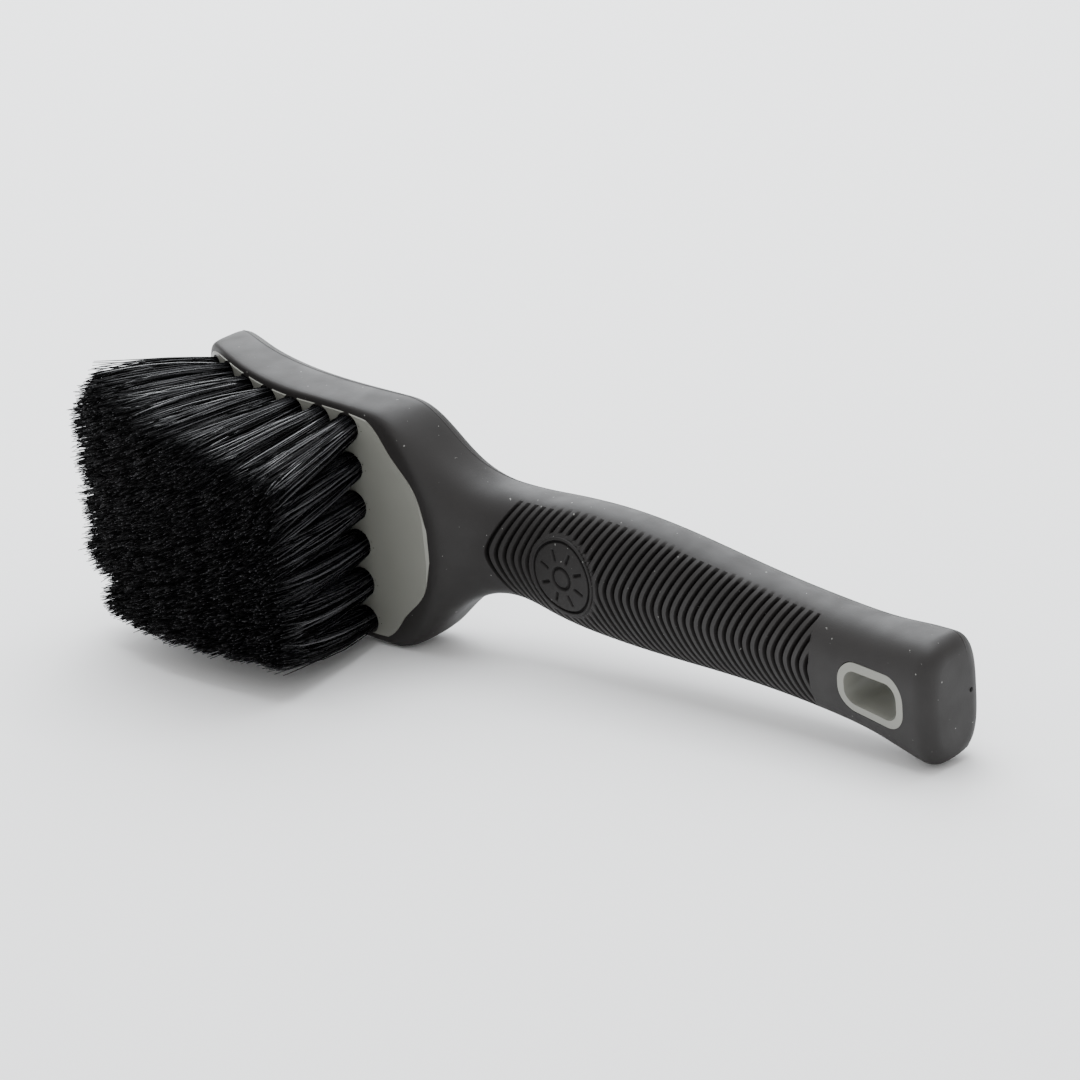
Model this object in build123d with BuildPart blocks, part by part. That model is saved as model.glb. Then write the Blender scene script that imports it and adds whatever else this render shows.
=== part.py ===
from build123d import *
import os
from math import copysign, cos, pi, radians, sin, sqrt

# Wheel brush: a two-shot brush body (hard core, soft overmould) with 42 stapled bristle tufts.
# Design frame, in millimetres: +X runs along the handle to its butt, Y across the head and
# +Z from the face plate to the bristle tips. Its origin is the centre of the tuft field, on the
# flat of the face plate. The finished pieces are then laid down on their side, which is how the
# brush rests, with the origin under the middle of the whole brush.

# Tufts: a grid of holes in the face plate, fanned along and across the head.
tuft_columns = 7
tuft_rows = 6
pitch_along = 9.0
pitch_across = 9.5
tuft_diameter = 6.6
tuft_length = 38.5
corner_trim = 6.0
corner_inset = (1.0, 1.6)
corner_spread = 0.84
lean_at_handle = 12.5
lean_at_nose = -11.0
spread_at_handle = -1.3
spread_at_nose = 5.0
nose_lift = 4.0
hole_clearance = 0.1
hole_depth = 10.5

# Staples that hold the folded tufts at the bottom of their holes.
staple_width = 5.6
staple_thickness = 0.5
staple_height = 2.2
staple_lift = 0.4
staple_clearance = 0.1

# Face plate: flat towards the handle, swept back on an arc towards the nose.
arch_start = 11.0
arch_radius = 85.0
plate_depth = 13.0
lip = 1.5
tongue_root = 29.0
tongue_line = [(34.5, 25.8), (36.9, 23.5), (39.3, 20.3), (44.0, 15.6), (47.6, 10.0), (49.2, 4.0)]
tongue_end = 49.4
tongue_side = 27.6

# Body stations: place, half width, front, back and squareness of the section. The front of
# the head stands proud here, because the face plate's line cuts it down afterwards.
body_stations = [
    (-39.0, 5.0, -14.5, -23.5, 2.2),
    (-38.3, 10.5, -12.5, -25.8, 2.6),
    (-37.0, 16.6, -11.0, -26.8, 3.0),
    (-34.5, 22.4, -9.0, -27.0, 3.4),
    (-30.5, 26.7, -6.0, -26.0, 3.8),
    (-25.0, 28.5, -2.0, -24.0, 4.0),
    (-17.0, 28.8, 2.0, -21.5, 4.0),
    (-6.0, 28.6, 5.0, -19.3, 4.0),
    (8.0, 28.5, 6.5, -18.1, 4.0),
    (22.0, 28.8, 7.0, -18.0, 4.0),
    (33.0, 29.0, 6.0, -18.6, 3.9),
    (39.5, 28.0, 4.6, -19.1, 3.7),
    (44.0, 24.6, 3.2, -19.8, 3.4),
    (48.5, 19.7, 1.5, -20.9, 3.1),
    (53.0, 15.8, -1.2, -22.2, 2.8),
    (57.5, 13.5, -3.8, -23.5, 2.6),
    (63.0, 12.6, -5.8, -24.5, 2.4),
    (78.0, 13.8, -6.1, -24.7, 2.4),
    (94.5, 14.9, -6.1, -24.8, 2.4),
    (110.0, 14.4, -6.0, -24.7, 2.4),
    (126.5, 13.1, -5.6, -24.0, 2.4),
    (142.0, 12.1, -5.0, -23.1, 2.4),
    (158.0, 11.8, -4.1, -22.1, 2.4),
    (174.0, 12.5, -2.8, -21.0, 2.5),
    (184.0, 13.6, -1.9, -20.2, 2.9),
    (190.5, 13.9, -1.4, -19.4, 3.2),
]
section_points = 20
butt_round = 4.0

# Hanging eye, with the core's sleeve showing around it.
eye_start = 165.2
eye_end = 183.7
eye_narrow = 5.4
eye_wide = 6.1
eye_corner = 4.9
eye_wall = 1.8

# Tang of the core inside the handle: its centre line in side view, and its half sizes.
tang_line = [(38.0, -8.0), (63.0, -15.0), (110.0, -15.4), (142.0, -14.1), (184.0, -11.0)]
tang_half_width = 6.0
tang_half_thickness = 4.0

# How the brush lies on its side.
lying_tilt = 5.747
lying_roll = 3.953

neck_end = 62.0
beyond = 60.0
fineness = 0.05


def face_height(x):
    """Height of the face plate at x."""
    back = min(0.0, x - arch_start)
    return sqrt(arch_radius**2 - back**2) - arch_radius


def column_x(column):
    """Place of a tuft column; column 1 is next to the handle."""
    return pitch_along * ((tuft_columns + 1) / 2 - column)


def row_y(row):
    """Place of a tuft row; row 1 is uppermost when the brush lies down."""
    return pitch_across * ((tuft_rows + 1) / 2 - row)


def tuft_line(column, row):
    """Foot of a tuft on the face plate, its direction and its length above the plate."""
    along = (column - 1) / (tuft_columns - 1)
    lean = radians(lean_at_handle + (lean_at_nose - lean_at_handle) * along)
    spread = spread_at_handle + (spread_at_nose - spread_at_handle) * along
    lift = nose_lift * along
    side = row_y(row) / row_y(1)
    x, y = column_x(column), row_y(row)
    at_corner = column == tuft_columns and row in (1, tuft_rows)
    if at_corner:
        x, y = x + corner_inset[0], y - copysign(corner_inset[1], y)
        side = side * corner_spread
    foot = Vector(x, y, face_height(x))
    direction = Vector(sin(lean), (spread * side + lift) / tuft_length, cos(lean)).normalized()
    length = tuft_length - (corner_trim if at_corner else 0)
    return foot, direction, length


def hole_plane(column, row):
    """Plane on the floor of a tuft's hole, its Z along the tuft."""
    foot, direction, length = tuft_line(column, row)
    return Plane(origin=foot - direction * hole_depth, x_dir=(0, 1, 0), z_dir=direction)


def section(station, inset):
    """Points round one section of the body, drawn in by an inset."""
    x, half_width, front, back, squareness = station
    across = half_width - inset
    thick = (front - back) / 2 - inset
    points = []
    for step in range(section_points):
        angle = 2 * pi * step / section_points
        side = copysign(abs(cos(angle)) ** (2 / squareness), cos(angle))
        rise = copysign(abs(sin(angle)) ** (2 / squareness), sin(angle))
        points.append((across * side, (front + back) / 2 + thick * rise))
    return points


def above_plate(depth):
    """Side view of the space above the face plate's line, or above a line that much lower."""
    start = body_stations[0][0] - 4
    middle = (start + arch_start) / 2
    with BuildSketch(Plane.XZ) as space:
        with BuildLine():
            ThreePointArc(
                (start, face_height(start) - depth),
                (middle, face_height(middle) - depth),
                (arch_start, -depth),
            )
            Polyline(
                (arch_start, -depth),
                (neck_end, -depth),
                (neck_end, beyond),
                (start, beyond),
                (start, face_height(start) - depth),
            )
        make_face()
    return space.sketch


def outer_volume(inset):
    """The body's volume inside its skin, or that volume drawn in by an inset."""
    with BuildPart() as volume:
        for station in body_stations:
            with BuildSketch(Plane.YZ.offset(station[0])):
                with BuildLine():
                    Spline(*section(station, inset), periodic=True)
                make_face()
        loft()
        if inset == 0:
            butt = volume.faces().filter_by(GeomType.PLANE).sort_by(Axis.X)[-1]
            fillet(butt.edges(), radius=butt_round)
        extrude(above_plate(0), amount=beyond, both=True, mode=Mode.SUBTRACT)
    return volume.part


def tongue_outline():
    """Plan outline of the grey plate: straight-sided at the nose, an ogee tongue at the handle."""
    with BuildSketch() as plan:
        with BuildLine():
            side = Line((body_stations[0][0] - 2, tongue_side), (tongue_root, tongue_side))
            ogee = Spline(side @ 1, *tongue_line, (tongue_end, 0), tangents=((1, 0), (0, -1)))
            base = Line(ogee @ 1, (body_stations[0][0] - 2, 0))
            Line(base @ 1, side @ 0)
        make_face()
        mirror(about=Plane.XZ)
    return plan.sketch


def eye_outline(grow):
    """Outline of the hanging eye, wider towards the butt, or the same outline grown."""
    with BuildSketch() as outline:
        with BuildLine():
            Polyline(
                (eye_start, eye_narrow),
                (eye_end, eye_wide),
                (eye_end, -eye_wide),
                (eye_start, -eye_narrow),
                close=True,
            )
        make_face()
        fillet(outline.vertices(), radius=eye_corner)
        offset(amount=grow)
    return outline.sketch


def laid_down(piece):
    """A piece turned from the design frame to the way the brush rests on its side."""
    on_side = Rotation(90 + lying_roll, 0, 0)
    nose_up = Rotation(0, lying_tilt, 0)
    return piece.moved(nose_up * on_side)


skin = outer_volume(0)

# Blank of the core: plate, tang and the solid boss around the hanging eye.
with BuildPart() as blank:
    add(outer_volume(lip))
    extrude(tongue_outline(), amount=beyond, both=True, mode=Mode.INTERSECT)
    extrude(above_plate(plate_depth), amount=beyond, both=True, mode=Mode.INTERSECT)
    with BuildSketch(Plane.XZ):
        upper = [(x, z + tang_half_thickness) for x, z in tang_line]
        lower = [(x, z - tang_half_thickness) for x, z in reversed(tang_line)]
        Polygon(*upper, *lower, align=None)
    extrude(amount=tang_half_width, both=True)
    extrude(eye_outline(0), amount=beyond, both=True)
    add(skin, mode=Mode.INTERSECT)

# Drillings of the tuft holes. The outermost ones graze the soft skin beside the core.
with BuildPart() as drillings:
    for column in range(1, tuft_columns + 1):
        for row in range(1, tuft_rows + 1):
            with BuildSketch(hole_plane(column, row)):
                Circle(tuft_diameter / 2 + hole_clearance)
            extrude(amount=2 * hole_depth)

# Core: the blank with the tuft holes drilled and the eye opened.
with BuildPart() as core:
    add(blank.part)
    extrude(eye_outline(-eye_wall), amount=beyond, both=True, mode=Mode.SUBTRACT)
    add(drillings.part, mode=Mode.SUBTRACT)

# Overmould: the soft skin moulded over the blank.
with BuildPart() as overmould:
    add(skin)
    add(blank.part, mode=Mode.SUBTRACT)
    add(drillings.part, mode=Mode.SUBTRACT)

pieces = {"core": core.part, "overmould": overmould.part}

# Tufts and staples, one tuft per hole and one node of staples per row.
for row in range(1, tuft_rows + 1):
    with BuildPart() as staples:
        for column in range(1, tuft_columns + 1):
            floor = hole_plane(column, row)
            with BuildSketch(floor.offset(staple_lift)):
                Rectangle(staple_width, staple_thickness)
            extrude(amount=staple_height)
    pieces[f"staples_row_{row}"] = staples.part
    for column in range(1, tuft_columns + 1):
        floor = hole_plane(column, row)
        foot, direction, length = tuft_line(column, row)
        with BuildPart() as tuft:
            with BuildSketch(floor.offset(hole_clearance)):
                Circle(tuft_diameter / 2)
            extrude(amount=hole_depth + length - hole_clearance)
            with BuildSketch(floor):
                Rectangle(staple_width + 2 * staple_clearance, staple_thickness + 2 * staple_clearance)
            extrude(amount=staple_lift + staple_height + staple_clearance, mode=Mode.SUBTRACT)
        pieces[f"tuft_row_{row}_column_{column}"] = tuft.part

# Lay everything down and put the origin under the middle of the brush.
rested = {name: laid_down(piece) for name, piece in pieces.items()}
surface = [point for piece in rested.values() for point in piece.tessellate(fineness)[0]]
along = [point.X for point in surface]
across = [point.Y for point in surface]
lowest = min(point.Z for point in surface)
middle = (-(min(along) + max(along)) / 2, -(min(across) + max(across)) / 2, -lowest)
to_origin = Location(middle)
os.makedirs("parts", exist_ok=True)
for name, piece in rested.items():
    placed = piece.moved(to_origin)
    placed.label = name
    export_step(placed, f"parts/{name}.step")
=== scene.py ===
"""Wheel brush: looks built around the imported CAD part.

Design frame, in millimetres: +X along the handle to its butt, Y across the head and +Z from the
face plate to the bristle tips. Its origin is the centre of the tuft field on the plate. placed()
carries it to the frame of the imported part, where the brush lies on its side.
"""

import math

import bpy
import numpy as np
from bpy.props import FloatProperty, FloatVectorProperty, IntProperty, PointerProperty
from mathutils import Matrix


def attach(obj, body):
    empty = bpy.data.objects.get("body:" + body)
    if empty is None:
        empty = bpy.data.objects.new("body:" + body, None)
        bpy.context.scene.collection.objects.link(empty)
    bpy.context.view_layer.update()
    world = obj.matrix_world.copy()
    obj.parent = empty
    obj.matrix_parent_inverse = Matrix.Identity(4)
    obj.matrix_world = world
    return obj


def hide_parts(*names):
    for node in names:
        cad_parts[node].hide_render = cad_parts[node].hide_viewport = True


bl_info = {
    "name": "Wheel brush",
    "version": (1, 0, 0),
    "blender": (4, 5, 0),
    "location": "View3D > Sidebar > Wheel brush",
    "description": "Builds the soft skin, bristles, materials and stage of a wheel brush",
    "category": "Object",
}

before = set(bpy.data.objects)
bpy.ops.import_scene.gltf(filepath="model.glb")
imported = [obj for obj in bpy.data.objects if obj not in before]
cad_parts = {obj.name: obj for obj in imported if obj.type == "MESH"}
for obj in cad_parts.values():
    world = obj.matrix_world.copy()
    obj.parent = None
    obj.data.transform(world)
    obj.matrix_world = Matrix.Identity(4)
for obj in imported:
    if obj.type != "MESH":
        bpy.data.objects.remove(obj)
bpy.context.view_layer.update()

MILLIMETRE = 0.001

# How the design frame lies in the part's frame.
LYING_TILT = math.radians(5.747)
LYING_ROLL = math.radians(3.953)
FIELD_CENTRE = np.array((-75.724, 6.398, 32.003))

# Tuft field.
COLUMNS = 7
ROWS = 6
PITCH_ALONG = 9.0
PITCH_ACROSS = 9.5
TUFT_LENGTH = 38.5
CORNER_TRIM = 6.0
CORNER_INSET = (1.0, 1.6)
CORNER_SPREAD = 0.84
LEAN_AT_HANDLE = 12.5
LEAN_AT_NOSE = -11.0
SPREAD_AT_HANDLE = -1.3
SPREAD_AT_NOSE = 5.0
NOSE_LIFT = 4.0

# Face plate: flat towards the handle, swept back on an arc towards the nose.
ARCH_START = 11.0
ARCH_RADIUS = 85.0

# Body stations: place, half width, front, back and squareness of the section.
STATIONS = np.array(
    [
        (-39.0, 5.0, -14.5, -23.5, 2.2),
        (-38.3, 10.5, -12.5, -25.8, 2.6),
        (-37.0, 16.6, -11.0, -26.8, 3.0),
        (-34.5, 22.4, -9.0, -27.0, 3.4),
        (-30.5, 26.7, -6.0, -26.0, 3.8),
        (-25.0, 28.5, -2.0, -24.0, 4.0),
        (-17.0, 28.8, 2.0, -21.5, 4.0),
        (-6.0, 28.6, 5.0, -19.3, 4.0),
        (8.0, 28.5, 6.5, -18.1, 4.0),
        (22.0, 28.8, 7.0, -18.0, 4.0),
        (33.0, 29.0, 6.0, -18.6, 3.9),
        (39.5, 28.0, 4.6, -19.1, 3.7),
        (44.0, 24.6, 3.2, -19.8, 3.4),
        (48.5, 19.7, 1.5, -20.9, 3.1),
        (53.0, 15.8, -1.2, -22.2, 2.8),
        (57.5, 13.5, -3.8, -23.5, 2.6),
        (63.0, 12.6, -5.8, -24.5, 2.4),
        (78.0, 13.8, -6.1, -24.7, 2.4),
        (94.5, 14.9, -6.1, -24.8, 2.4),
        (110.0, 14.4, -6.0, -24.7, 2.4),
        (126.5, 13.1, -5.6, -24.0, 2.4),
        (142.0, 12.1, -5.0, -23.1, 2.4),
        (158.0, 11.8, -4.1, -22.1, 2.4),
        (174.0, 12.5, -2.8, -21.0, 2.5),
        (184.0, 13.6, -1.9, -20.2, 2.9),
        (190.5, 13.9, -1.4, -19.4, 3.2),
    ]
)
NOSE = STATIONS[0, 0]
BUTT = STATIONS[-1, 0]
BUTT_ROUND = 4.0

# The soft skin stands a little below the hard plate, and its rim is rounded.
SKIN_DROP = 0.14
RIM_SOFTNESS = 1.2
DROP_FADE = (50.0, 56.0)

# Grip grooves: rounded chevrons whose arms sweep back towards the butt.
GROOVE_START = 61.23
GROOVE_STOP = 157.0
GROOVE_PITCH = 2.34
GROOVE_SWEEP = 0.625
GROOVE_BEND = 2.4
GROOVE_MARGIN_FRONT = 0.8
GROOVE_MARGIN_BACK = 2.2
GROOVE_FADE = 0.4
HANDLE_MIDDLE = -15.0

# The skin's rows stand at these shares of each groove and take up its sweep over these lengths.
GROOVE_PHASES = (0.0, 0.13, 0.235, 0.3, 0.375, 0.5, 0.625, 0.7, 0.765, 0.87)
SWEEP_RISE = 14.0
SWEEP_FALL = 18.0

# Round medallion on the grip: heights over the grip's surface and depths of what is cut in it.
MEDALLION_X = 84.8
MEDALLION_RADIUS = 9.2
MEDALLION_MARGIN = 1.2
MEDALLION_HEIGHT = 0.12
MEDALLION_MARK = 0.45
MEDALLION_THICKNESS = 0.9
RIM_GROOVE = 0.5
RIM_RISE = 0.1
SEAT_DEPTH = 0.5
DISC_ROWS = 44
RIM_ROWS = 20
MEDALLION_SIDES = 192

# Mark on the medallion: radii where its ring and its eight spokes begin and end.
MARK_RING = (2.0, 2.85)
MARK_SPOKES = (3.9, 6.7)
SPOKE_STEP = math.pi / 4
MARK_EDGE = 0.2

# Gate stub on the end of the butt.
GATE_RADIUS = 0.5
GATE_Y = 0.9
GATE_Z = -15.4
GATE_SIDES = 24

# Hanging eye, lined by a sleeve of the hard core.
EYE_START = 165.2
EYE_END = 183.7
EYE_NARROW = 5.4
EYE_WIDE = 6.1
EYE_CORNER = 4.9
CUTTER_HEIGHTS = (-40.0, 15.0)
SHARP_ANGLE = math.radians(50)

# Rings of a filament, as shares of its length, and its thickness there.
STRAND_STOPS = np.array((-0.04, 0.16, 0.38, 0.6, 0.78, 0.9, 1.0))
STRAND_TAPER = np.array((1.0, 1.0, 1.0, 1.0, 1.0, 0.85, 0.55))

# Disorder of the filaments, in millimetres at their tips.
STRAY = 0.6
STRAY_LIMIT = 3.2
UNEVEN = 0.38
EDGE_WEAR = 1.4
BOW = 0.36
CURL = 0.7
CURL_START = 0.55
FAN_POWER = 0.88

# How much shorter filaments are at the nose: in every row, and more in the middle rows.
NOSE_SHORTER = 0.6
NOSE_MIDDLE_SHORTER = 1.3

# Sideways place of the tips over the feet, for the top and bottom rows at handle and nose.
TOP_SWAY = (-1.3, 6.0)
BOTTOM_SWAY = (8.3, 0.6)

# How much a bundle's lower and upper half is flattened, for the outer rows.
FLATTENED = {1: (1.0, 0.85), ROWS: (0.5, 1.0)}

# Three broken filaments beside the feet of the tufts next to the handle: foot and tip in shares
# of the tuft's radius, and length.
BROKEN_FEET = np.array(((-0.96, 0.0), (-0.97, 0.1), (-0.96, -0.08)))
BROKEN_TIPS = np.array(((1.5, 1.0), (1.35, 5.0), (1.4, 6.0)))
BROKEN_LENGTHS = (1.1, 1.3, 0.9)

# Mesh of the skin: points on half a ring, the parting ridge at its side and sampling steps.
RING_HALF = 74
PARTING_GAP = 0.6
PARTING_WIDTH = 0.16
PARTING_HEIGHT = 0.12
PARTING_SHARE = 0.27
SECTION_SAMPLES = 700
TURN_WEIGHT = 1.6
TURN_BLUR = 15
TABLE_STEP = 0.25
HEAD_STEP = 0.8
TAIL_ROWS = 46
SWEEP_PASSES = 4

# Painted glint on the palest cut ends of filaments: a pale colour standing in for the light they
# catch.
CUT_END_GLINT = (0.15, 0.15, 0.16)

# Stage. Each lamp has a name, a place, a turn, a width and a power.
FLOOR_HALF = 3.0
FLOOR_DROP = 0.0002
WORLD_STRENGTH = 1.2
LIGHT_COLOUR = (0.94, 0.97, 1.0)
LAMPS = (
    ("top", (-0.1, 0.25, 1.1), (0.0, 0.0, 0.0), 1.0, 18.0),
    ("back", (-0.9, 0.85, 0.8), (math.radians(-58), 0.0, math.radians(46.6)), 1.1, 21.0),
)
CAMERA_LENS = 138.64
CAMERA_PLACE = (0.6245, -0.57479, 0.31089)
CAMERA_TURN = (math.radians(71.8239), math.radians(5.8812), math.radians(44.6819))


def placed(points):
    """Design-frame points in millimetres, carried to the part's frame in metres."""
    x, y, z = np.moveaxis(np.asarray(points, float), -1, 0)
    roll = math.pi / 2 + LYING_ROLL
    turned_y = y * math.cos(roll) - z * math.sin(roll)
    turned_z = y * math.sin(roll) + z * math.cos(roll)
    tilted_x = x * math.cos(LYING_TILT) + turned_z * math.sin(LYING_TILT)
    tilted_z = -x * math.sin(LYING_TILT) + turned_z * math.cos(LYING_TILT)
    return (np.stack((tilted_x, turned_y, tilted_z), axis=-1) + FIELD_CENTRE) * MILLIMETRE


def ease(value, low, high):
    """0 below low, 1 above high and smooth between."""
    t = np.clip((value - low) / (high - low), 0, 1)
    return t * t * (3 - 2 * t)


def face_height(x):
    """Height of the face plate at x."""
    back = np.minimum(0.0, x - ARCH_START)
    return np.sqrt(ARCH_RADIUS**2 - back**2) - ARCH_RADIUS


def spline_through(knots, values, places):
    """Natural cubic spline through values at knots, read at places."""
    count = len(knots)
    gap = np.diff(knots)
    system = np.eye(count)
    target = np.zeros(count)
    for i in range(1, count - 1):
        system[i, i - 1] = gap[i - 1]
        system[i, i] = 2 * (gap[i - 1] + gap[i])
        system[i, i + 1] = gap[i]
        rise = (values[i + 1] - values[i]) / gap[i]
        target[i] = 6 * (rise - (values[i] - values[i - 1]) / gap[i - 1])
    bend = np.linalg.solve(system, target)
    i = np.clip(np.searchsorted(knots, places) - 1, 0, count - 2)
    left = places - knots[i]
    right = knots[i + 1] - places
    straight = (values[i] / gap[i] - bend[i] * gap[i] / 6) * right
    straight += (values[i + 1] / gap[i] - bend[i + 1] * gap[i] / 6) * left
    return straight + (bend[i] * right**3 + bend[i + 1] * left**3) / (6 * gap[i])


def station_at(x):
    """Half width, front, back and squareness of the body at x."""
    x = np.clip(x, NOSE, BUTT)
    return [spline_through(STATIONS[:, 0], STATIONS[:, k], x) for k in range(1, 5)]


def half_section(x, inset=0.0):
    """One side of the section at x, from the middle of the front to the middle of the back."""
    half_width, front, back, squareness = (float(v) for v in station_at(np.array(x)))
    angle = np.linspace(math.pi / 2, -math.pi / 2, SECTION_SAMPLES)
    across = (half_width - inset) * np.abs(np.cos(angle)) ** (2 / squareness)
    thick = ((front - back) / 2 - inset) * np.abs(np.sin(angle)) ** (2 / squareness)
    height = (front + back) / 2 + np.sign(angle) * thick
    drop = SKIN_DROP * (1 - ease(x, *DROP_FADE))
    over = height - (face_height(x) - drop)
    softness = RIM_SOFTNESS * (1 - 0.7 * ease(x, *DROP_FADE))
    height = height - (over + np.sqrt(over**2 + softness**2)) / 2
    points = np.stack((across, height), axis=-1)
    step = np.diff(points, axis=0)
    length = np.hypot(step[:, 0], step[:, 1])
    heading = np.unwrap(np.arctan2(step[:, 1], step[:, 0]))
    turn = np.abs(np.gradient(heading)) * TURN_WEIGHT
    turn = np.convolve(turn, np.ones(TURN_BLUR) / TURN_BLUR, mode="same")
    travel = np.concatenate(((0,), np.cumsum(length + turn)))
    seam = np.interp(-back - PARTING_SHARE * (front - back), -height, travel)
    ahead = np.linspace(0, seam - PARTING_GAP, RING_HALF // 2 - 1)
    behind = np.linspace(seam + PARTING_GAP, travel[-1], RING_HALF - RING_HALF // 2 - 1)
    stops = np.concatenate((ahead, (seam - PARTING_WIDTH, seam, seam + PARTING_WIDTH), behind))
    half = np.stack([np.interp(stops, travel, points[:, k]) for k in range(2)], axis=-1)
    middle = len(ahead) + 1
    run = half[middle + 1] - half[middle - 1]
    outward = np.array((-run[1], run[0])) / np.hypot(*run)
    half[middle] += PARTING_HEIGHT * outward
    return half


def full_ring(half):
    """A closed ring of (y, z) from one side of it."""
    other = half[-2:0:-1] * (-1, 1)
    return np.concatenate((half, other))


def quad_grid(rows, ring):
    """Faces of a tube of rows, each a closed ring."""
    start = np.arange(rows - 1)[:, None] * ring
    here = np.arange(ring)[None, :]
    after = (here + 1) % ring
    corners = (start + here, start + after, start + ring + after, start + ring + here)
    return np.stack([np.broadcast_to(c, (rows - 1, ring)) for c in corners], axis=-1).reshape(-1, 4)


def tube_faces(rows, ring):
    """Faces of a tube of rows, closed at both ends."""
    faces = quad_grid(rows, ring).tolist()
    faces.append(list(range(ring))[::-1])
    faces.append(list(range((rows - 1) * ring, rows * ring)))
    return faces


def new_piece(name, points, faces, material):
    """A mesh object from design-frame points, riding on the brush."""
    mesh = bpy.data.meshes.new(name)
    mesh.from_pydata(placed(points).tolist(), [], faces)
    mesh.validate()
    mesh.shade_smooth()
    piece = bpy.data.objects.new(name, mesh)
    bpy.context.scene.collection.objects.link(piece)
    mesh.materials.append(material)
    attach(piece, "root")
    return piece


def chevron_arm(y):
    """How far a chevron sweeps back towards the butt at y."""
    return GROOVE_SWEEP * (np.sqrt(y**2 + GROOVE_BEND**2) - GROOVE_BEND)


def groove_profile(x, y, in_front, width):
    """Share of the full depth of the grip grooves at a place on the handle."""
    phase = (x - chevron_arm(y) - GROOVE_START) / GROOVE_PITCH
    aside = np.abs(phase - np.floor(phase) - 0.5) * GROOVE_PITCH
    profile = 1 - ease(aside, width * 0.26, width * 0.54)
    half_width = station_at(x)[0]
    margin = np.where(in_front, GROOVE_MARGIN_FRONT, GROOVE_MARGIN_BACK)
    profile = profile * ease(half_width - margin - np.abs(y), 0.0, GROOVE_FADE)
    return profile * ease(phase, 0.0, 0.1) * ease(GROOVE_STOP - x, 0.0, 0.5)


def body_rows():
    """Places of the rows of the skin, before their chevron sweep."""
    head = np.arange(NOSE, GROOVE_START, HEAD_STEP)
    grooves = np.arange(0, round((GROOVE_STOP - GROOVE_START) / GROOVE_PITCH))
    phases = (grooves[:, None] + np.array(GROOVE_PHASES)[None, :]).ravel()
    grip = phases * GROOVE_PITCH + GROOVE_START
    tail = np.linspace(grip[-1] + 0.4, BUTT - BUTT_ROUND, TAIL_ROWS)
    return np.concatenate((head, grip, tail))


def skin_points(sizes):
    """Rings of the soft skin from nose to butt, and the share of groove at each point, which the
    skin's material paints as shade.
    """
    table_x = np.arange(NOSE, BUTT + TABLE_STEP, TABLE_STEP)
    table = np.array([full_ring(half_section(x)) for x in table_x])
    rows = body_rows()
    ring = table.shape[1]
    place = np.repeat(rows[:, None], ring, axis=1)
    sweep = ease(rows, GROOVE_START - SWEEP_RISE, GROOVE_START)
    sweep = sweep * (1 - ease(rows, GROOVE_STOP, GROOVE_STOP + SWEEP_FALL))

    def read(x):
        spot = np.clip((x - NOSE) / TABLE_STEP, 0, len(table_x) - 1.001)
        low = spot.astype(int)
        part = (spot - low)[..., None]
        column = np.arange(ring)[None, :]
        return table[low, column] * (1 - part) + table[low + 1, column] * part

    for _ in range(SWEEP_PASSES):
        across = read(place)[..., 0]
        place = rows[:, None] + sweep[:, None] * chevron_arm(across)
    section = read(place)
    points = np.concatenate((place[..., None], section), axis=-1)
    along = np.gradient(points, axis=0)
    around = np.roll(points, -1, axis=1) - np.roll(points, 1, axis=1)
    normal = np.cross(around, along)
    normal /= np.linalg.norm(normal, axis=-1, keepdims=True)
    x, y = points[..., 0], points[..., 1]
    from_medallion = np.hypot(x - MEDALLION_X, y)
    kept_clear = MEDALLION_RADIUS + MEDALLION_MARGIN
    clear = ease(from_medallion, kept_clear - GROOVE_FADE, kept_clear)
    in_front = points[..., 2] > HANDLE_MIDDLE
    groove = groove_profile(x, y, in_front, sizes.groove_width)
    groove = groove * np.where(in_front, clear, 1.0)
    seat = SEAT_DEPTH * (1 - ease(from_medallion, MEDALLION_RADIUS - 0.5, MEDALLION_RADIUS - 0.1))
    depth = sizes.groove_depth * groove + np.where(in_front, seat, 0.0)
    points = points + normal * depth[..., None]
    nose, butt = nose_rings(points[0]), butt_rings()
    shade = np.concatenate((np.zeros((len(nose), ring)), groove, np.zeros((len(butt), ring))))
    return np.concatenate((nose, points, butt)), shade


def nose_rings(first):
    """Rings that close the nose, smallest first."""
    centre = first.mean(axis=0)
    rings = []
    for scale, ahead in ((0.04, 0.34), (0.3, 0.33), (0.55, 0.28), (0.75, 0.2), (0.9, 0.1)):
        ring = centre + (first - centre) * scale
        ring[:, 0] -= ahead
        rings.append(ring)
    return np.array(rings)


def butt_rings():
    """Rings of the rounded butt and its flat end."""
    rings = []
    for turn in np.linspace(0.09, 1.0, 11) * math.pi / 2:
        x = BUTT - BUTT_ROUND * (1 - math.sin(turn))
        ring = full_ring(half_section(x, BUTT_ROUND * (1 - math.cos(turn))))
        rings.append(np.concatenate((np.full((len(ring), 1), x), ring), axis=1))
    last = rings[-1]
    for scale in (0.7, 0.35, 0.02):
        rings.append(last.mean(axis=0) + (last - last.mean(axis=0)) * scale)
    return np.array(rings)


def eye_outline(grow):
    """Points round the hanging eye, its corners rounded, grown by a little."""
    slope = (EYE_WIDE - EYE_NARROW) / (EYE_END - EYE_START)
    lean = math.atan(slope)
    turn = math.pi / 2 + lean
    wide_y = EYE_WIDE - EYE_CORNER * (math.cos(lean) + math.sin(lean))
    narrow_y = EYE_NARROW - EYE_CORNER * (1 - 2 * slope)
    corners = (
        (EYE_END - EYE_CORNER, wide_y, 0.0, turn),
        (EYE_START + EYE_CORNER, narrow_y, turn, math.pi),
    )
    half = []
    for x, y, first, last in corners:
        for angle in np.linspace(first, last, 13):
            reach = EYE_CORNER + grow
            half.append((x + reach * math.cos(angle), y + reach * math.sin(angle)))
    half = np.array(half)
    half[:, 1] = np.maximum(half[:, 1], 0.05)
    return np.concatenate((half, half[::-1] * (1, -1)))


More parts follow.
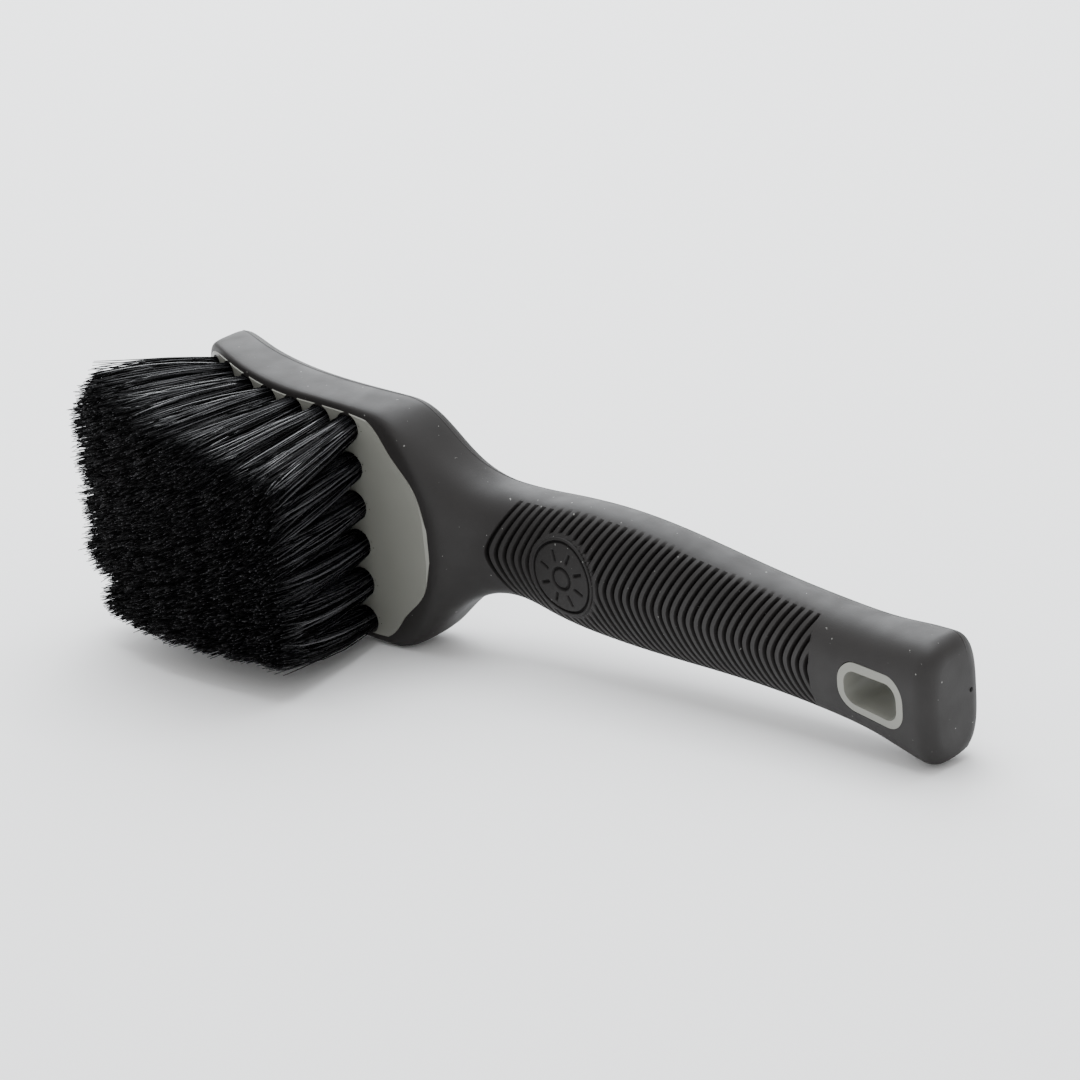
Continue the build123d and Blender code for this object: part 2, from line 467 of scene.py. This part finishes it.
def paint_groove_shade(piece, shade):
    """Stores, as the groove share on each point of a piece, how much painted shade its material
    puts there.
    """
    groove = piece.data.attributes.new("groove", "FLOAT", "POINT")
    groove.data.foreach_set("value", shade.ravel())


def gate_mark(material):
    """The small moulding gate stub on the end of the butt."""
    turn = np.linspace(0, 2 * math.pi, GATE_SIDES, endpoint=False)
    points = []
    for reach, share in ((-0.4, 1.0), (0.05, 1.0), (0.14, 0.76), (0.14, 0.04)):
        radius = share * GATE_RADIUS
        y = GATE_Y + radius * np.cos(turn)
        z = GATE_Z + radius * np.sin(turn)
        points.append(np.stack((np.full(GATE_SIDES, BUTT + reach), y, z), axis=-1))
    faces = tube_faces(len(points), GATE_SIDES)
    stub = new_piece("gate_mark", np.concatenate(points), faces, material)
    # The whole stub takes the full painted groove shade, so it is painted almost black.
    paint_groove_shade(stub, np.ones(len(points) * GATE_SIDES))


def cut_eye(piece):
    """Opens the hanging eye through the skin."""
    outline = eye_outline(0.02)
    count = len(outline)
    points = np.concatenate([np.column_stack((outline, np.full(count, z))) for z in CUTTER_HEIGHTS])
    faces = [list(range(count))[::-1], list(range(count, 2 * count))]
    faces += [[i, (i + 1) % count, count + (i + 1) % count, count + i] for i in range(count)]
    mesh = bpy.data.meshes.new("eye_cutter")
    mesh.from_pydata(placed(points).tolist(), [], faces)
    cutter = bpy.data.objects.new("eye_cutter", mesh)
    bpy.context.scene.collection.objects.link(cutter)
    boolean = piece.modifiers.new("hanging_eye", "BOOLEAN")
    boolean.operation = "DIFFERENCE"
    boolean.solver = "EXACT"
    boolean.object = cutter
    bpy.context.view_layer.update()
    depsgraph = bpy.context.evaluated_depsgraph_get()
    opened = bpy.data.meshes.new_from_object(piece.evaluated_get(depsgraph))
    piece.modifiers.clear()
    piece.data = opened
    opened.name = piece.name
    opened.shade_smooth()
    opened.set_sharp_from_angle(angle=SHARP_ANGLE)
    bpy.data.objects.remove(cutter)


def front_height(x, y):
    """Height of the front of the handle at a place."""
    half_width, front, back, squareness = station_at(x)
    rise = np.clip(1 - np.abs(y / half_width) ** squareness, 0, 1) ** (1 / squareness)
    return (front + back) / 2 + (front - back) / 2 * rise


def band(radius, first, last):
    """1 between two radii and 0 beyond them, with short slopes inside."""
    return ease(radius, first, first + MARK_EDGE) - ease(radius, last - MARK_EDGE, last)


def medallion_relief(radius, angle):
    """Height of the medallion's rim, ring and spokes over the grip's surface."""
    edge = MEDALLION_RADIUS
    rim = ease(radius, edge - 0.85, edge - 0.6)
    groove = ease(radius, edge - 1.35, edge - 1.15) - rim
    skirt = ease(radius, edge - 0.12, edge + 0.12)
    height = MEDALLION_HEIGHT - RIM_GROOVE * groove + RIM_RISE * rim - MEDALLION_THICKNESS * skirt
    ring = band(radius, *MARK_RING)
    aside = np.abs((angle / SPOKE_STEP) % 1 - 0.5) * SPOKE_STEP * radius
    spoke = (1 - ease(aside, 0.22, 0.22 + MARK_EDGE)) * band(radius, *MARK_SPOKES)
    return height - MEDALLION_MARK * np.maximum(ring, spoke)


def bristle_axis(column, row):
    """Foot of a tuft on the plate, its direction and its length above the plate."""
    along = (column - 1) / (COLUMNS - 1)
    lean = math.radians(LEAN_AT_HANDLE + (LEAN_AT_NOSE - LEAN_AT_HANDLE) * along)
    side = ((ROWS + 1) / 2 - row) / ((ROWS - 1) / 2)
    spread = SPREAD_AT_HANDLE + (SPREAD_AT_NOSE - SPREAD_AT_HANDLE) * along
    lift = NOSE_LIFT * along
    x = PITCH_ALONG * ((COLUMNS + 1) / 2 - column)
    y = PITCH_ACROSS * ((ROWS + 1) / 2 - row)
    at_corner = column == COLUMNS and row in (1, ROWS)
    if at_corner:
        x, y = x + CORNER_INSET[0], y - math.copysign(CORNER_INSET[1], y)
        side = side * CORNER_SPREAD
    foot = np.array((x, y, float(face_height(x))))
    direction = np.array((math.sin(lean), (spread * side + lift) / TUFT_LENGTH, math.cos(lean)))
    length = TUFT_LENGTH - (CORNER_TRIM if at_corner else 0)
    return foot, direction / np.linalg.norm(direction), length


def tip_sway(column, row):
    """How far a tuft's tip is pushed across the head, past its straight axis, as the brush lies."""
    along = (column - 1) / (COLUMNS - 1)
    low = (row - 1) / (ROWS - 1)
    side = 1 - 2 * low
    spread = SPREAD_AT_HANDLE + (SPREAD_AT_NOSE - SPREAD_AT_HANDLE) * along
    straight = spread * side + NOSE_LIFT * along
    top = TOP_SWAY[0] + (TOP_SWAY[1] - TOP_SWAY[0]) * along
    bottom = BOTTOM_SWAY[0] + (BOTTOM_SWAY[1] - BOTTOM_SWAY[0]) * along
    return top * (1 - low) + bottom * low - straight


def scattered_disc(count, radius, random):
    """Points spread evenly over a disc, with a little disorder."""
    turn = math.pi * (3 - math.sqrt(5))
    index = np.arange(count)
    reach = radius * np.sqrt((index + 0.5) / count)
    points = np.stack((reach * np.cos(turn * index), reach * np.sin(turn * index)), axis=-1)
    return points + random.normal(0, radius * 0.035, points.shape)


def bristle_points(column, row, sizes):
    """Rings of every filament of a tuft, as an array of filament, ring, corner and coordinate."""
    random = np.random.default_rng(100 * row + column)
    foot, direction, length = bristle_axis(column, row)
    side = np.cross(direction, (0.0, 1.0, 0.0))
    side /= np.linalg.norm(side)
    up = np.cross(side, direction)
    count = sizes.filaments
    base = scattered_disc(count, sizes.tuft_radius, random)
    stray = np.clip(random.standard_t(4, base.shape) * STRAY, -STRAY_LIMIT, STRAY_LIMIT)
    tip = base / sizes.tuft_radius * sizes.tip_radius + stray
    along = (column - 1) / (COLUMNS - 1)
    middle = math.sin(math.pi * (row - 1) / (ROWS - 1))
    shorter = (NOSE_SHORTER + NOSE_MIDDLE_SHORTER * middle) * along
    reach = length - shorter + random.normal(0, UNEVEN, count)
    reach -= EDGE_WEAR * (np.hypot(*base.T) / sizes.tuft_radius) ** 6 * random.random(count)
    if column == 1:
        base[-3:] = sizes.tuft_radius * BROKEN_FEET
        tip[-3:] = base[-3:] * BROKEN_TIPS
        reach[-3:] = BROKEN_LENGTHS
    share = np.clip(STRAND_STOPS, 0, 1)
    spread = base[:, None, :] + (tip - base)[:, None, :] * share[None, :, None] ** FAN_POWER
    relative = reach / length
    belly = np.sin(math.pi * share)[None, :, None]
    hook = (np.clip(share - CURL_START, 0, 1) / (1 - CURL_START))[None, :, None] ** 2
    bow = random.normal(0, BOW, (count, 1, 2)) * relative[:, None, None] * belly
    curl = random.normal(0, CURL, (count, 1, 2)) * relative[:, None, None] * hook
    offset = spread + bow + curl
    offset[..., 1] *= np.where(offset[..., 1] < 0, *FLATTENED.get(row, (1.0, 1.0)))
    rise = reach[:, None] * STRAND_STOPS[None, :]
    centre = foot + rise[..., None] * direction + offset[..., :1] * side + offset[..., 1:] * up
    centre[..., 1] += tip_sway(column, row) * (share * relative[:, None]) ** 2
    thickness = sizes.filament_radius * STRAND_TAPER
    spin = random.random(count) * 2 * math.pi
    corner = spin[:, None] + np.arange(3)[None, :] * 2 * math.pi / 3
    rim = np.cos(corner)[..., None] * side + np.sin(corner)[..., None] * up
    return centre[:, :, None, :] + rim[:, None, :, :] * thickness[None, :, None, None]


def mark_lengths(bundle, shape):
    """Marks how far along its filament each point of a bundle lies, for its material."""
    share = np.broadcast_to(np.clip(STRAND_STOPS, 0, 1)[None, :, None], shape)
    attribute = bundle.data.attributes.new("share", "FLOAT", "POINT")
    attribute.data.foreach_set("value", np.ascontiguousarray(share, dtype=float).ravel())


def bristle_faces(count, rings):
    """Faces of three-sided filaments, closed at both ends."""
    strand = quad_grid(rings, 3)
    start = np.arange(count) * rings * 3
    sides = (start[:, None, None] + strand[None]).reshape(-1, 4)
    foot = start[:, None] + np.array((2, 1, 0))
    tip = start[:, None] + (rings - 1) * 3 + np.array((0, 1, 2))
    return sides.tolist() + foot.tolist() + tip.tolist()


def new_material(name):
    """A node material, its tree and its surface shader."""
    material = bpy.data.materials.new(name)
    material.use_nodes = True
    tree = material.node_tree
    return material, tree, tree.nodes["Principled BSDF"]


def noise(tree, scale, detail=4.0, roughness=0.5):
    """A noise texture in the part's own coordinates."""
    place = tree.nodes.new("ShaderNodeTexCoord")
    texture = tree.nodes.new("ShaderNodeTexNoise")
    texture.inputs["Scale"].default_value = scale
    texture.inputs["Detail"].default_value = detail
    texture.inputs["Roughness"].default_value = roughness
    tree.links.new(place.outputs["Object"], texture.inputs["Vector"])
    return texture.outputs["Fac"]


def ramp(tree, source, stops):
    """A colour ramp over a source, from (position, colour) stops."""
    node = tree.nodes.new("ShaderNodeValToRGB")
    elements = node.color_ramp.elements
    for index, (position, colour) in enumerate(stops):
        element = elements[index] if index < 2 else elements.new(position)
        element.position = position
        element.color = (*colour, 1.0)
    tree.links.new(source, node.inputs["Fac"])
    return node.outputs["Color"]


def mixed(tree, factor, first, second):
    """A colour mix driven by a factor; the second colour may be a plain one."""
    node = tree.nodes.new("ShaderNodeMix")
    node.data_type = "RGBA"
    tree.links.new(factor, node.inputs["Factor"])
    tree.links.new(first, node.inputs["A"])
    if isinstance(second, bpy.types.NodeSocket):
        tree.links.new(second, node.inputs["B"])
    else:
        node.inputs["B"].default_value = (*second, 1.0)
    return node.outputs["Result"]


def grey(value):
    """A grey, or a plain value carried as one."""
    return (value,) * 3


def mesh_value(tree, name):
    """A value stored on the points of the mesh."""
    node = tree.nodes.new("ShaderNodeAttribute")
    node.attribute_name = name
    return node.outputs["Fac"]


def add_bump(tree, shader, height, strength, distance):
    """Fine relief on a surface shader."""
    node = tree.nodes.new("ShaderNodeBump")
    node.inputs["Strength"].default_value = strength
    node.inputs["Distance"].default_value = distance
    tree.links.new(height, node.inputs["Height"])
    tree.links.new(node.outputs["Normal"], shader.inputs["Normal"])


def shades(colour, low, high):
    """A darker and a lighter shade of a colour."""
    return tuple(c * low for c in colour), tuple(c * high for c in colour)


def soft_skin(colours):
    """Matt charcoal elastomer with a fine spark-eroded grain and a few specks of dust, painted
    almost black as shade and made less glossy where the mesh's groove share is high.
    """
    material, tree, shader = new_material("soft_skin")
    dark, light = shades(colours.skin, 0.88, 1.12)
    tone = ramp(tree, noise(tree, 45.0), ((0.3, dark), (0.7, light)))
    speck = ramp(tree, noise(tree, 1100.0, 1.0), ((0.775, grey(0)), (0.8, grey(1))))
    # Painted shade: the groove share stored on the mesh mixes the colour towards an almost black
    # shade, as at the bottom of the grooves where shadow falls.
    groove = mesh_value(tree, "groove")
    shade_share = ramp(tree, groove, ((0.1, grey(0)), (0.9, grey(0.8))))
    darkest, less_dark = shades(dark, 0.2, 0.3)
    groove_shadow = ramp(tree, noise(tree, 45.0), ((0.3, darkest), (0.7, less_dark)))
    cover = mixed(tree, shade_share, mixed(tree, speck, tone, colours.dust), groove_shadow)
    tree.links.new(cover, shader.inputs["Base Color"])
    gloss = ramp(tree, groove, ((0.1, grey(0.3)), (0.9, grey(0.08))))
    tree.links.new(gloss, shader.inputs["Specular IOR Level"])
    finish = ramp(tree, noise(tree, 160.0), ((0.3, grey(0.52)), (0.7, grey(0.62))))
    tree.links.new(finish, shader.inputs["Roughness"])
    add_bump(tree, shader, noise(tree, 2600.0, 2.0), 0.25, 0.00006)
    return material


def hard_core(colours):
    """Light grey moulded plastic, satin, with faint flow marks."""
    material, tree, shader = new_material("hard_core")
    dark, light = shades(colours.core, 0.95, 1.05)
    tone = ramp(tree, noise(tree, 30.0), ((0.35, dark), (0.65, light)))
    tree.links.new(tone, shader.inputs["Base Color"])
    finish = ramp(tree, noise(tree, 120.0), ((0.3, grey(0.4)), (0.7, grey(0.5))))
    tree.links.new(finish, shader.inputs["Roughness"])
    add_bump(tree, shader, noise(tree, 1800.0, 2.0), 0.15, 0.00004)
    return material


def filament(colours):
    """Black filament, glossy in the middle, its tone different from strand to strand: the lighter
    strands are painted highlight, the middle of each strand is painted lit and its foot and tip are
    painted in shade.
    """
    material, tree, shader = new_material("filament")
    strand = tree.nodes.new("ShaderNodeNewGeometry").outputs["Random Per Island"]
    # Painted highlight: the light shade, twelve times the filaments' colour, stands in for strands
    # that catch the light; the spread between dark and light is partly a random tone per strand.
    dark, light = shades(colours.bristle, 0.3, 12.0)
    share = mesh_value(tree, "share")
    # Painted light and shade along each strand: its middle takes the per-strand tone, while its
    # foot near the plate and its tip are painted dark as shade.
    lit = ((0.0, grey(0.1)), (0.98, grey(0.1)), (0.16, grey(1)), (0.78, grey(1)))
    middle = ramp(tree, share, lit)
    shadow = ramp(tree, strand, ((0.5, dark), (1.0, shades(dark, 1, 2)[1])))
    tone = mixed(tree, middle, shadow, ramp(tree, strand, ((0.4, dark), (1.0, light))))
    # Painted glint: the cut ends of some strands are painted pale, standing in for light caught by
    # the cut ends.
    end = ramp(tree, share, ((0.993, grey(0)), (0.998, grey(1))))
    end_glint = ramp(tree, strand, ((0.8, dark), (1.0, CUT_END_GLINT)))
    tree.links.new(mixed(tree, end, tone, end_glint), shader.inputs["Base Color"])
    finish = ramp(tree, noise(tree, 900.0), ((0.3, grey(0.24)), (0.7, grey(0.36))))
    tree.links.new(finish, shader.inputs["Roughness"])
    gloss = ramp(tree, strand, ((0.4, grey(0.02)), (0.95, grey(1)), (0.72, grey(0.35))))
    dull = ramp(tree, strand, ((0.5, grey(0.01)), (1.0, grey(0.15))))
    tree.links.new(mixed(tree, middle, dull, gloss), shader.inputs["Specular IOR Level"])
    return material


def bright_wire(colours):
    """Drawn flat wire with faint lines."""
    material, tree, shader = new_material("bright_wire")
    dark, light = shades(colours.wire, 0.85, 1.1)
    tone = ramp(tree, noise(tree, 700.0), ((0.3, dark), (0.7, light)))
    tree.links.new(tone, shader.inputs["Base Color"])
    shader.inputs["Metallic"].default_value = 1.0
    shader.inputs["Roughness"].default_value = 0.35
    return material


def painted_node(name, material):
    """A carried-over CAD node with its finish."""
    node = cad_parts[name]
    node.data.materials.clear()
    node.data.materials.append(material)


class BrushSizes(bpy.types.PropertyGroup):
    """Sizes of the brush's fine detail, in millimetres."""

    groove_depth: FloatProperty(
        name="Groove depth",
        description="Depth of the grip grooves in millimetres",
        default=1.1, min=0.0, max=1.5,
    )
    groove_width: FloatProperty(
        name="Groove width",
        description="Width of the grip grooves in millimetres",
        default=1.15, min=0.2, max=2.0,
    )
    filaments: IntProperty(
        name="Filaments",
        description="Filaments in one tuft",
        default=480, min=20, max=900,
    )
    filament_radius: FloatProperty(
        name="Filament radius",
        description="Radius of a filament in millimetres",
        default=0.135, min=0.05, max=0.5,
    )
    tuft_radius: FloatProperty(
        name="Tuft radius",
        description="Radius of a tuft at the plate in millimetres",
        default=3.15, min=1.0, max=5.0,
    )
    tip_radius: FloatProperty(
        name="Tip radius",
        description="Radius of a tuft at its tip in millimetres",
        default=5.7, min=1.0, max=8.0,
    )


class BrushColours(bpy.types.PropertyGroup):
    """Colours of the brush's finishes and of the stage."""

    skin: FloatVectorProperty(
        name="Soft skin",
        description="Colour of the soft skin",
        subtype="COLOR", default=(0.0138, 0.0124, 0.012),
    )
    dust: FloatVectorProperty(
        name="Dust",
        description="Colour of the specks of dust",
        subtype="COLOR", default=(0.2, 0.2, 0.19),
    )
    core: FloatVectorProperty(
        name="Hard core",
        description="Colour of the plate and the eye's sleeve",
        subtype="COLOR", default=(0.205, 0.206, 0.183),
    )
    bristle: FloatVectorProperty(
        name="Bristles",
        description="Colour of the filaments",
        subtype="COLOR", default=(0.006, 0.006, 0.0065),
    )
    wire: FloatVectorProperty(
        name="Staples",
        description="Colour of the staples",
        subtype="COLOR", default=(0.6, 0.59, 0.57),
    )
    floor: FloatVectorProperty(
        name="Floor",
        description="Colour of the floor",
        subtype="COLOR", default=(0.92, 0.92, 0.92),
    )


class BRUSH_OT_skin(bpy.types.Operator):
    """Builds the soft skin over the head, neck and grip"""

    bl_idname = "brush.skin"
    bl_label = "Soft skin"

    def execute(self, context):
        points, shade = skin_points(context.scene.brush_sizes)
        faces = tube_faces(*points.shape[:2])
        material = soft_skin(context.scene.brush_colours)
        skin = new_piece("soft_skin", points.reshape(-1, 3), faces, material)
        paint_groove_shade(skin, shade)
        cut_eye(skin)
        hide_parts("overmould")
        gate_mark(material)
        return {"FINISHED"}


class BRUSH_OT_medallion(bpy.types.Operator):
    """Builds the round medallion on the grip, with a plain ring and spokes"""

    bl_idname = "brush.medallion"
    bl_label = "Medallion"

    def execute(self, context):
        disc = np.linspace(0.4, MEDALLION_RADIUS - 1.5, DISC_ROWS)
        rim = np.linspace(MEDALLION_RADIUS - 1.4, MEDALLION_RADIUS + 0.12, RIM_ROWS)
        reach = np.concatenate(((0.05,), disc, rim))
        angle = np.linspace(0, 2 * math.pi, MEDALLION_SIDES, endpoint=False)
        radius, turn = np.meshgrid(reach, angle, indexing="ij")
        x = MEDALLION_X + radius * np.cos(turn)
        y = radius * np.sin(turn)
        relief = medallion_relief(radius, turn)
        points = np.stack((x, y, front_height(x, y) + relief), axis=-1)
        under = points[::-1].copy()
        under[..., 2] -= MEDALLION_THICKNESS
        shell = np.concatenate((points, under))
        faces = tube_faces(*shell.shape[:2])
        material = bpy.data.materials["soft_skin"]
        medallion = new_piece("medallion", shell.reshape(-1, 3), faces, material)
        # Painted shade in the carved ring, spokes and rim groove; the rest of the medallion is
        # painted a little darker too.
        medallion_shade = 0.3 + 0.6 * np.clip((MEDALLION_HEIGHT - relief) / MEDALLION_MARK, 0, 1)
        paint_groove_shade(medallion, np.concatenate((medallion_shade, medallion_shade[::-1])))
        return {"FINISHED"}


class BRUSH_OT_core(bpy.types.Operator):
    """Finishes the hard core and the staples"""

    bl_idname = "brush.core"
    bl_label = "Hard core and staples"

    def execute(self, context):
        colours = context.scene.brush_colours
        painted_node("core", hard_core(colours))
        wire = bright_wire(colours)
        for row in range(1, ROWS + 1):
            painted_node(f"staples_row_{row}", wire)
        return {"FINISHED"}


class BRUSH_OT_bristles(bpy.types.Operator):
    """Builds a bundle of filaments for every tuft"""

    bl_idname = "brush.bristles"
    bl_label = "Bristles"

    def execute(self, context):
        sizes = context.scene.brush_sizes
        material = filament(context.scene.brush_colours)
        for row in range(1, ROWS + 1):
            for column in range(1, COLUMNS + 1):
                points = bristle_points(column, row, sizes)
                faces = bristle_faces(*points.shape[:2])
                name = f"bristles_row_{row}_column_{column}"
                bundle = new_piece(name, points.reshape(-1, 3), faces, material)
                mark_lengths(bundle, points.shape[:3])
                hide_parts(f"tuft_row_{row}_column_{column}")
        return {"FINISHED"}


class BRUSH_OT_stage(bpy.types.Operator):
    """Sets the pale floor, the soft lights and the camera"""

    bl_idname = "brush.stage"
    bl_label = "Stage"

    def execute(self, context):
        scene = context.scene
        mesh = bpy.data.meshes.new("floor")
        signs = ((-1, -1), (1, -1), (1, 1), (-1, 1))
        corners = [(x * FLOOR_HALF, y * FLOOR_HALF, 0) for x, y in signs]
        mesh.from_pydata(corners, [], [(0, 1, 2, 3)])
        floor = bpy.data.objects.new("floor", mesh)
        floor.location.z = -FLOOR_DROP
        scene.collection.objects.link(floor)
        material, _, shader = new_material("floor")
        shader.inputs["Base Color"].default_value = (*scene.brush_colours.floor, 1.0)
        shader.inputs["Roughness"].default_value = 0.9
        mesh.materials.append(material)

        world = bpy.data.worlds.new("studio")
        world.use_nodes = True
        sky = world.node_tree.nodes["Background"]
        sky.inputs["Color"].default_value = (1.0, 1.0, 1.0, 1.0)
        sky.inputs["Strength"].default_value = WORLD_STRENGTH
        scene.world = world
        for name, spot, turn, width, power in LAMPS:
            light = bpy.data.lights.new(name, "AREA")
            light.size = width
            light.energy = power
            light.color = LIGHT_COLOUR
            lamp = bpy.data.objects.new(name, light)
            lamp.location = spot
            lamp.rotation_euler = turn
            scene.collection.objects.link(lamp)

        camera = bpy.data.objects.new("camera", bpy.data.cameras.new("camera"))
        camera.data.lens = CAMERA_LENS
        camera.data.sensor_width = 36.0
        camera.data.clip_end = 20.0
        camera.location = CAMERA_PLACE
        camera.rotation_euler = CAMERA_TURN
        scene.collection.objects.link(camera)
        scene.camera = camera
        return {"FINISHED"}


class BRUSH_PT_panel(bpy.types.Panel):
    """Lists the steps that build the brush"""

    bl_idname = "BRUSH_PT_panel"
    bl_label = "Wheel brush"
    bl_space_type = "VIEW_3D"
    bl_region_type = "UI"
    bl_category = "Wheel brush"

    def draw(self, context):
        for step in STEPS:
            self.layout.operator(step.bl_idname)
        for group in (context.scene.brush_sizes, context.scene.brush_colours):
            for name in group.bl_rna.properties.keys():
                if name not in ("rna_type", "name"):
                    self.layout.prop(group, name)


STEPS = (BRUSH_OT_skin, BRUSH_OT_medallion, BRUSH_OT_core, BRUSH_OT_bristles, BRUSH_OT_stage)
CLASSES = (BrushSizes, BrushColours, *STEPS, BRUSH_PT_panel)


def register():
    for item in CLASSES:
        bpy.utils.register_class(item)
    bpy.types.Scene.brush_sizes = PointerProperty(type=BrushSizes)
    bpy.types.Scene.brush_colours = PointerProperty(type=BrushColours)


def unregister():
    del bpy.types.Scene.brush_colours
    del bpy.types.Scene.brush_sizes
    for item in reversed(CLASSES):
        bpy.utils.unregister_class(item)


def main():
    """Builds the brush."""
    register()
    bpy.ops.brush.skin()
    bpy.ops.brush.medallion()
    bpy.ops.brush.core()
    bpy.ops.brush.bristles()
    bpy.ops.brush.stage()


if __name__ == "__main__":
    main()
